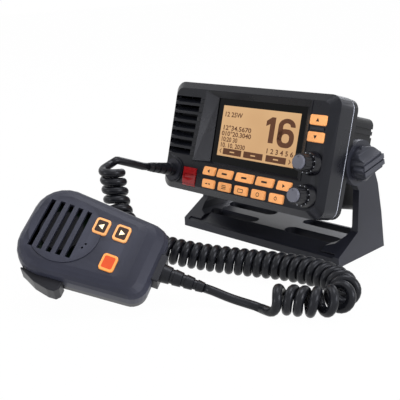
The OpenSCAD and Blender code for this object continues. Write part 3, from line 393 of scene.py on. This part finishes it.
def srgb(r, g, b):
    return (linear(r), linear(g), linear(b), 1)


def scaled(colour, factor, plus=0.0):
    """A colour made darker or lighter."""
    return (*(min(1, c * factor + plus) for c in colour[:3]), 1)


def pale_edges_wear_and_highlight(tree, paint, base, edge_paling):
    """The paint, turning paler along sharp edges: partly rubbed wear, partly a painted highlight."""
    geometry = add_node(tree, "NewGeometry")
    edge = add_node(tree, "MapRange", From_Min=EDGE_FROM, From_Max=EDGE_TO, To_Max=edge_paling)
    tree.links.new(geometry.outputs["Pointiness"], edge.inputs["Value"])
    mix = add_node(tree, "Mix")
    mix.data_type = "RGBA"
    mix.inputs[MIX_B].default_value = scaled(base, EDGE_PALER, EDGE_PLUS)
    tree.links.new(edge.outputs["Result"], mix.inputs["Factor"])
    tree.links.new(paint, mix.inputs[MIX_A])
    return mix.outputs[MIX_RESULT]


def add_grain(tree, coords, shader, strength, size):
    """The fine grain of a moulded surface, as a bump."""
    fine = noise(tree, coords, Scale=1 / size, Detail=2)
    bump = add_node(tree, "Bump", Strength=strength, Distance=GRAIN_DEPTH)
    tree.links.new(fine.outputs["Fac"], bump.inputs["Height"])
    tree.links.new(bump.outputs["Normal"], shader.inputs["Normal"])


def material(name, colour, rough, grain=0.35, size=0.0006, vary=0.12, metal=0.0, coat=0.0, glow=0.0,
             spec=0.22, edge_paling=0.0):
    """A moulded surface: fine grain in the bump, slow drifts in colour and gloss, and paler edges that are
    partly rubbed wear and partly a painted highlight.
    """
    base = srgb(*colour)
    made, tree, shader = new_material(name)
    set_inputs(shader, Metallic=metal, Specular_IOR_Level=spec, Coat_Weight=coat, Coat_Roughness=COAT_ROUGH)
    coords = add_node(tree, "TexCoord")
    drift = noise(tree, coords, Scale=DRIFT_SCALE, Detail=3)
    ramp = colour_ramp(tree, DRIFT_LOW, scaled(base, 1 - vary), DRIFT_HIGH, scaled(base, 1 + vary))
    tree.links.new(drift.outputs["Fac"], ramp.inputs["Fac"])
    paint = ramp.outputs["Color"]
    # Paler sharp edges: partly rubbed wear, partly a painted highlight along the edges
    if edge_paling:
        paint = pale_edges_wear_and_highlight(tree, paint, base, edge_paling)
    tree.links.new(paint, shader.inputs["Base Color"])
    if glow:
        tree.links.new(paint, shader.inputs["Emission Color"])
        set_inputs(shader, Emission_Strength=glow)
    gloss = add_node(tree, "MapRange", To_Min=max(0.02, rough - GLOSS_LESS), To_Max=rough + GLOSS_MORE)
    tree.links.new(drift.outputs["Fac"], gloss.inputs["Value"])
    tree.links.new(gloss.outputs["Result"], shader.inputs["Roughness"])
    if grain:
        add_grain(tree, coords, shader, grain, size)
    return made


def lit_screen():
    """The lit screen: warm light with slow clouds in it."""
    made, tree, shader = new_material("screen_glow")
    set_inputs(shader, Base_Color=(0.02, 0.015, 0.01, 1), Roughness=0.2, Emission_Strength=1.0)
    cloud = noise(tree, add_node(tree, "TexCoord"), Scale=18)
    ramp = colour_ramp(tree, 0.3, srgb(196, 151, 101), 0.75, srgb(220, 178, 126))
    tree.links.new(cloud.outputs["Fac"], ramp.inputs["Fac"])
    tree.links.new(ramp.outputs["Color"], shader.inputs["Emission Color"])
    return made


looks = {
    "housing": material("housing_look", (20, 21, 26), 0.27, edge_paling=0.6),
    "surround": material("surround_look", (17, 17, 22), 0.27, edge_paling=0.5),
    "lens": material("lens_look", (3, 3, 4), 0.05, grain=0, vary=0.05, spec=0.12),
    "display": material("display_look", (214, 168, 112), 0.3, grain=0),
    "backlight": material("backlight_look", (230, 230, 226), 0.5),
    "circuit_board": material("board_look", (20, 52, 32), 0.4),
    "speaker_cone": material("cone_look", (26, 26, 28), 0.8),
    # The gasket's pale silver is partly its own colour and partly a painted highlight along the seam between
    # face and chassis
    "gasket": material("gasket_and_seam_highlight_look", (200, 202, 210), 0.3, grain=0.2),
    "chassis": material("chassis_look", (14, 15, 19), 0.36, grain=0.7, size=0.0009, edge_paling=0.5),
    "brass_insert": material("brass_look", (190, 150, 80), 0.3, metal=1, grain=0.1),
    "washer": material("washer_look", (40, 40, 44), 0.6),
    "socket_metal": material("socket_look", (205, 205, 210), 0.18, metal=1, grain=0.05),
    "inlet": material("inlet_look", (30, 30, 34), 0.35),
    "gland": material("gland_look", (38, 38, 44), 0.35),
    "cord_rubber": material("cord_look", (22, 23, 27), 0.3, grain=0.25, size=0.0004, vary=0.16),
    "red_cover": material("red_look", (158, 22, 24), 0.25, grain=0.1, coat=0.4),
    "lit_key": material("key_look", (228, 158, 96), 0.4, grain=0.15, glow=0.4),
    "orange_key": material("orange_look", (232, 150, 76), 0.4, grain=0.15, vary=0.1, glow=0.35),
    "shaft_metal": material("shaft_look", (170, 170, 174), 0.3, metal=1, grain=0.1),
    "knob": material("knob_look", (18, 18, 22), 0.26, grain=0.2, coat=0.2, edge_paling=0.6),
    "knob_cap": material("cap_look", (106, 106, 113), 0.35, grain=0.3),
    "clamp_plastic": material("clamp_look", (46, 47, 53), 0.32, edge_paling=0.6),
    "bracket_plastic": material("bracket_look", (38, 39, 46), 0.36, grain=0.5, edge_paling=0.6),
    "mic_front": material("mic_front_look", (42, 43, 53), 0.38, edge_paling=0.4),
    "mic_back": material("mic_back_look", (20, 21, 26), 0.38, edge_paling=0.4),
    "lever": material("lever_look", (20, 20, 25), 0.36, edge_paling=0.4),
}
screen_glow = lit_screen()
ink = material("screen_ink", (98, 58, 32), 0.3, grain=0, vary=0.05)
dark_mark = material("mark_dark", (40, 24, 14), 0.5, grain=0, vary=0.05)
cream = material("mark_cream", (255, 236, 190), 0.4, grain=0, vary=0.03, glow=0.5)
# Painted highlight: pale dots that stand for the glints on the dials' flutes
glint_dot_look = material("painted_glint_dots", (210, 212, 216), 0.5, grain=0, vary=0.03)
red_plate = material("red_plate", (206, 74, 28), 0.35, grain=0.1, vary=0.08, glow=0.2)
brown_plate = material("brown_plate", (50, 32, 20), 0.3, grain=0.05, vary=0.1)

for part in frame["record"]["subparts"]:
    piece = nodes[part["node"]]
    piece.data.materials.clear()
    piece.data.materials.append(looks[part["material_slot"]])
for piece in (coil, lead, tail):
    piece.data.materials.append(looks["cord_rubber"])

# ---------- Outlines of flat marks: points in mm, round the mark's middle ----------


def box(cx, cy, w, h):
    return [(cx + sx * w / 2, cy + sy * h / 2) for sx, sy in ((-1, -1), (1, -1), (1, 1), (-1, 1))]


def arc(cx, cy, rx, ry, start, end, steps):
    """Part of an ellipse, between two angles in degrees."""
    angles = [math.radians(start + (end - start) * k / steps) for k in range(steps + 1)]
    return [(cx + rx * math.cos(a), cy + ry * math.sin(a)) for a in angles]


def rounded_box(cx, cy, half_w, half_h, r, steps):
    out = []
    for sx, sy, start in ((1, 1, 0), (-1, 1, 90), (-1, -1, 180), (1, -1, 270)):
        out += arc(cx + sx * (half_w - r), cy + sy * (half_h - r), r, r, start, start + 90, steps)
    return out


def arrow(tip, tail, half_w, turn):
    """A triangle that points up, turned anticlockwise by an angle in degrees."""
    c, s = math.cos(math.radians(turn)), math.sin(math.radians(turn))
    return [(x * c - y * s, x * s + y * c) for x, y in ((0, tip), (-half_w, -tail), (half_w, -tail))]


# ---------- Flat marks ----------

# How far the layers of marks stand off their surface, in mm
PLATE_LIFT = 0.05
GLINT_LIFT = 0.06
INK_LIFT = 0.1
BAR_MARK_LIFT = 0.14
TEXT_WEIGHT = 0.022  # how much thicker the letters are, as a share of their size


def on_plane(plane, x, y, lift):
    """Point of a plane, given by a place and two axes, and lifted off it, in mm."""
    place, x_axis, y_axis = plane
    return place + (x_axis * x + y_axis * y + x_axis.cross(y_axis).normalized() * lift) * MM


def add_mark(name, mesh, look, body):
    """A mark from a finished mesh, riding on a body."""
    mesh.materials.clear()
    mesh.materials.append(look)
    mark = add_object(name, mesh)
    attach(mark, body)


def flat_mark(name, shapes, plane, lift, look, body):
    """Filled outlines on a plane. Each shape is an outline, and its hole or None."""
    bm = bmesh.new()
    for outline, hole in shapes:
        outer = [bm.verts.new(on_plane(plane, x, y, lift)) for x, y in outline]
        if hole is None:
            bm.faces.new(outer)
            continue
        inner = [bm.verts.new(on_plane(plane, x, y, lift)) for x, y in hole]
        for k in range(len(outer)):
            after = (k + 1) % len(outer)
            bm.faces.new((outer[k], outer[after], inner[after], inner[k]))
    mesh = bpy.data.meshes.new(name)
    bm.to_mesh(mesh)
    bm.free()
    add_mark(name, mesh, look, body)


# ---------- The screen's picture ----------

SCREEN = (on_face(0, LENS_DROP, 0), X, RISE)
STROKE = 4.6
SIX_X = 41
SIX_HALF = 8.2
BOWL_Y, BOWL_HALF = 9.6, 7.1
CROWN_Y = 18.6
STEM_FOOT, STEM_TOP = 8, 18.5
TEXT_X = -24.9
BAR_Y = -7.4
ARROW_X = {"left": -24.6, "right": 49.9}


def on_screen(name, shapes, lift=INK_LIFT, look=ink):
    flat_mark(name, shapes, SCREEN, lift, look, "radio")


def screen_text(name, words, size, x, y, stretch):
    """A line of text from its lower left corner, stretched sideways."""
    font = bpy.data.curves.new(name, "FONT")
    font.body = words
    font.size = size
    font.offset = size * TEXT_WEIGHT
    font.resolution_u = 3
    holder = add_object(name + "_font", font)
    bpy.context.view_layer.update()
    mesh = bpy.data.meshes.new_from_object(holder.evaluated_get(bpy.context.evaluated_depsgraph_get()))
    bpy.data.objects.remove(holder)
    for v in mesh.vertices:
        v.co = on_plane(SCREEN, x + v.co.x * stretch, y + v.co.y, INK_LIFT)
    mesh.name = name
    add_mark(name, mesh, ink, "radio")


on_screen("screen_picture", [(box(LENS_X, 9.1, 79.6, 41), None)], PLATE_LIFT, screen_glow)

# The big channel number
one = [(24.5, 4.5), (29.5, 4.5), (29.5, 24.5), (25.6, 24.5), (20.6, 21.3), (20.6, 17.2), (24.5, 19)]
six_bowl = (
    rounded_box(SIX_X, BOWL_Y, SIX_HALF, BOWL_HALF, 6.4, 8),
    rounded_box(SIX_X, BOWL_Y, SIX_HALF - STROKE, BOWL_HALF - STROKE * 0.8, 3, 8),
)
stem_x = SIX_X - SIX_HALF
six_stem = [
    (stem_x, STEM_FOOT), (stem_x + STROKE, STEM_FOOT), (stem_x + STROKE, STEM_TOP),
    *arc(SIX_X, CROWN_Y, SIX_HALF - STROKE, 2.6, 180, 0, 12),
    (SIX_X + SIX_HALF, STEM_TOP),
    *arc(SIX_X, CROWN_Y, SIX_HALF, 6.1, 0, 180, 15),
]
on_screen("channel_one", [(one, None)])
on_screen("channel_six", [six_bowl, (six_stem, None)])

# Name, words, size, place on the screen and stretch
for row in (
    ("power_line", "12 25W", 5.4, TEXT_X, 20.8, 1.1),
    ("place_line_1", "12\u00b034.5670", 5.2, TEXT_X, 10.0, 1.3),
    ("place_line_2", "010\u00b020.3040", 5.2, TEXT_X, 5.3, 1.2),
    ("time_line", "10:20 30", 5.2, TEXT_X, 0.6, 1.0),
    ("date_line", "10. 10. 2030", 5.2, TEXT_X, -4.1, 1.05),
    ("small_line", "1 2 3 4 5 6", 5.4, 23.8, -3.5, 1.15),
):
    screen_text(*row)

# Bars over the soft keys, between two arrows
for i, x in enumerate((-10.6, 11.8, 35), 1):
    on_screen(f"bar_{i}", [(box(x, BAR_Y, 20, 5), None)])
    on_screen(f"bar_mark_{i}", [(box(x, BAR_Y, 5, 1), None)], BAR_MARK_LIFT, screen_glow)
chevron = [(0, 0), (2.2, 2.2), (2.2, 1.2), (1, 0), (2.2, -1.2), (2.2, -2.2)]
for side, sign in (("left", 1), ("right", -1)):
    outline = [(ARROW_X[side] + sign * x, BAR_Y + sign * y) for x, y in chevron]
    on_screen(f"screen_arrow_{side}", [(outline, None)])

# ---------- Legends on the keys ----------


def legend(name, key, x, z, shapes):
    """A dark sign on top of the key whose middle is at x and z."""
    flat_mark(name, shapes, (on_face(x, -KEY_PROUD, z), X, RISE), PLATE_LIFT, dark_mark, key)


legend("legend_left", "soft_key_1", SOFT_KEY_X[0], SOFT_ROW_Z, [(arrow(1.5, 1, 1.5, 90), None)])
for i in (1, 2, 3):
    dash = rounded_box(0, 0, 2.8, 0.75, 0.3, 2)
    legend(f"legend_bar_{i}", f"soft_key_{i + 1}", SOFT_KEY_X[i], SOFT_ROW_Z, [(dash, None)])
legend("legend_right", "soft_key_5", SOFT_KEY_X[4], SOFT_ROW_Z, [(arrow(1.5, 1, 1.5, -90), None)])
legend("legend_up", "channel_up_key", KNOB_X, CHANNEL_Z, [(arrow(1.6, 1.2, 1.5, 0), None)])
down_z = CHANNEL_Z - CHANNEL_PITCH
legend("legend_down", "channel_down_key", KNOB_X, down_z, [(arrow(1.6, 1.2, 1.5, 180), None)])
row_signs = (
    [(box(-1.6, 0, 2, 1), None), (box(1.6, 0, 2, 1), None)],
    [(box(0, y, 4.8, 0.56), None) for y in (-1.3, 0, 1.3)],
    [(rounded_box(0, 0, 2.8, 1.5, 0.5, 3), rounded_box(0, 0, 2.3, 1, 0.3, 3))],
    [(rounded_box(0, 0, 1.7, 1.7, 1.69, 6), rounded_box(0, 0, 1.2, 1.2, 1.19, 6))],
)
for i, sign in enumerate(row_signs):
    legend(f"legend_{i + 1}", f"row_key_{i + 1}", ROW_KEY_X[i], LOW_ROW_Z, sign)
open_ring = arc(0, 0, 1.5, 1.5, 120, 420, 20) + arc(0, 0, 1, 1, 420, 120, 20)
power_sign = [(open_ring, None), (box(0, 1.1, 0.5, 1.8), None)]
legend("legend_power", "power_key", ROW_KEY_X[4], LOW_ROW_Z, power_sign)

# ---------- Painted highlights: pale dots round the skirts of the dials, where the flutes catch the light ---

GLINT_CIRCLE = 7.35
GLINT_HALF = 0.36
# These dots are painted highlights of the flutes, not marks printed on the knobs
for dial, z in (("select_dial", SELECT_Z), ("volume_dial", VOLUME_Z)):
    dots = [(rounded_box(x, y, GLINT_HALF, GLINT_HALF, 0.35, 3), None)
            for x, y in arc(0, 0, GLINT_CIRCLE, GLINT_CIRCLE, 15, 345, 11)]
    plane = (on_face(KNOB_X, -SKIRT_PROUD, z), X, RISE)
    flat_mark(dial + "_painted_glints", dots, plane, GLINT_LIFT, glint_dot_look, dial)

# ---------- Plates and arrows on the microphone's keys ----------

# Key, its place, its plate's look, its slot and its arrow's turn
MIC_KEYS = (
    ("mic_up_key", MIC_KEY_X, MIC_KEY_Y, brown_plate, "lit_key", 0),
    ("mic_down_key", MIC_KEY_X, MIC_KEY_Y - MIC_KEY_PITCH, brown_plate, "lit_key", 180),
    ("mic_power_key", MIC_POWER_X, MIC_POWER_Y, red_plate, "orange_key", None),
)
for key, x, y, look, slot, turn in MIC_KEYS:
    plane = (on_mic(x, y, MIC_KEY_PROUD), MIC_X, MIC_Y)
    plate = rounded_box(0, 0, 4.6, 3.8, 1.2, 4)
    flat_mark(key + "_plate", [(plate, None)], plane, PLATE_LIFT, look, key)
    if turn is not None:
        flat_mark(key + "_arrow", [(arrow(2.3, 1.4, 2.2, turn), None)], plane, INK_LIFT, cream, key)

# ---------- Small round edges, so that the edges catch the light ----------

WELD = 0.000002
EDGE_SEGMENTS = 2
EDGE_ANGLE = math.radians(28)
KEY_EDGE = 0.35


def soften_edges(name, width):
    piece = nodes[name]
    weld = piece.modifiers.new("weld", "WELD")
    weld.merge_threshold = WELD
    bevel = piece.modifiers.new("bevel", "BEVEL")
    bevel.width = width * MM
    bevel.segments = EDGE_SEGMENTS
    bevel.limit_method = "ANGLE"
    bevel.angle_limit = EDGE_ANGLE


for name, width in (
    ("front_housing", 0.5), ("rear_chassis", 0.6), ("bracket", 0.6), ("screen_surround", 0.25),
    ("clamp_knob_left", 0.5), ("clamp_knob_right", 0.5), ("talk_lever", 0.8), ("mic_cord_block", 0.8),
    ("distress_cover", 0.3), ("select_knob", 0.3), ("volume_knob", 0.3),
    ("select_cap", 0.3), ("volume_cap", 0.3),
    *((key, KEY_EDGE) for key in nodes if "key" in key),
):
    soften_edges(name, width)

# ---------- Floor ----------

FLOOR_HALF = 6
FLOOR_DROP = 0.0002
FLOOR_SHARE = 0.985  # of plain white in what is seen of the floor, the rest being its lit surface

floor_mesh = bpy.data.meshes.new("floor")
floor_mesh.from_pydata([(x * FLOOR_HALF, y * FLOOR_HALF, 0) for x, y in ((-1, -1), (1, -1), (1, 1), (-1, 1))],
                       [], [(0, 1, 2, 3)])
floor = add_object("floor", floor_mesh)
floor.location.z = -FLOOR_DROP
pale, tree, shader = new_material("floor_look")
set_inputs(shader, Base_Color=(0.9, 0.9, 0.91, 1), Roughness=0.9, Specular_IOR_Level=0.1)
light = add_node(tree, "Emission", Color=(1, 1, 1, 1))
share = add_node(tree, "Math")
share.operation = "MULTIPLY"
share.inputs[1].default_value = FLOOR_SHARE
tree.links.new(seen_rays(tree), share.inputs[0])
mix_shaders(tree, share.outputs[0], shader, light, "Material Output")
floor_mesh.materials.append(pale)

# ---------- World: a soft sky that lights the object, seen as white ----------


def sky_grey(level):
    return (level * 0.9, level * 0.92, level, 1)


world = bpy.data.worlds.new("studio")
bpy.context.scene.world = world
world.use_nodes = True
tree = world.node_tree
sky = tree.nodes["Background"]
spot = add_node(tree, "TexCoord")
split = add_node(tree, "SeparateXYZ")
height = add_node(tree, "MapRange", From_Min=-1.0)
shade = colour_ramp(tree, 0, sky_grey(0.10), 1, (1, 1, 1, 1))
for stop, level in ((0.5, 0.62), (0.75, 0.36)):
    shade.color_ramp.elements.new(stop).color = sky_grey(level)
tree.links.new(spot.outputs["Generated"], split.inputs["Vector"])
tree.links.new(split.outputs["Z"], height.inputs["Value"])
tree.links.new(height.outputs["Result"], shade.inputs["Fac"])
tree.links.new(shade.outputs["Color"], sky.inputs["Color"])
white = add_node(tree, "Background", Color=(1, 1, 1, 1))
mix_shaders(tree, seen_rays(tree), sky, white, "World Output")

# ---------- Lamps ----------

LAMP_AIM = Vector((0, -0.06, 0.05))
LAMP_COLOUR = (0.88, 0.9, 1)


def lamp(name, place, size, power):
    """A round soft lamp that faces the object."""
    data = bpy.data.lights.new(name, "AREA")
    data.shape = "DISK"
    data.size = size
    data.energy = power
    data.color = LAMP_COLOUR
    made = add_object(name, data)
    made.location = place
    made.rotation_euler = (LAMP_AIM - Vector(place)).to_track_quat("-Z", "Y").to_euler()


lamp("top_box", (0.1, 0.1, 1.3), 0.8, 8)
lamp("right_box", (1.2, 0.1, 0.55), 0.6, 8)
lamp("left_box", (-1.1, -0.4, 0.9), 0.5, 2.2)
lamp("rim_box", (-0.5, 1.3, 0.8), 0.7, 5)
lamp("front_box", (-0.35, -1.5, 0.3), 0.4, 3.5)

bpy.context.scene.view_settings.view_transform = "Standard"
bpy.context.view_layer.update()
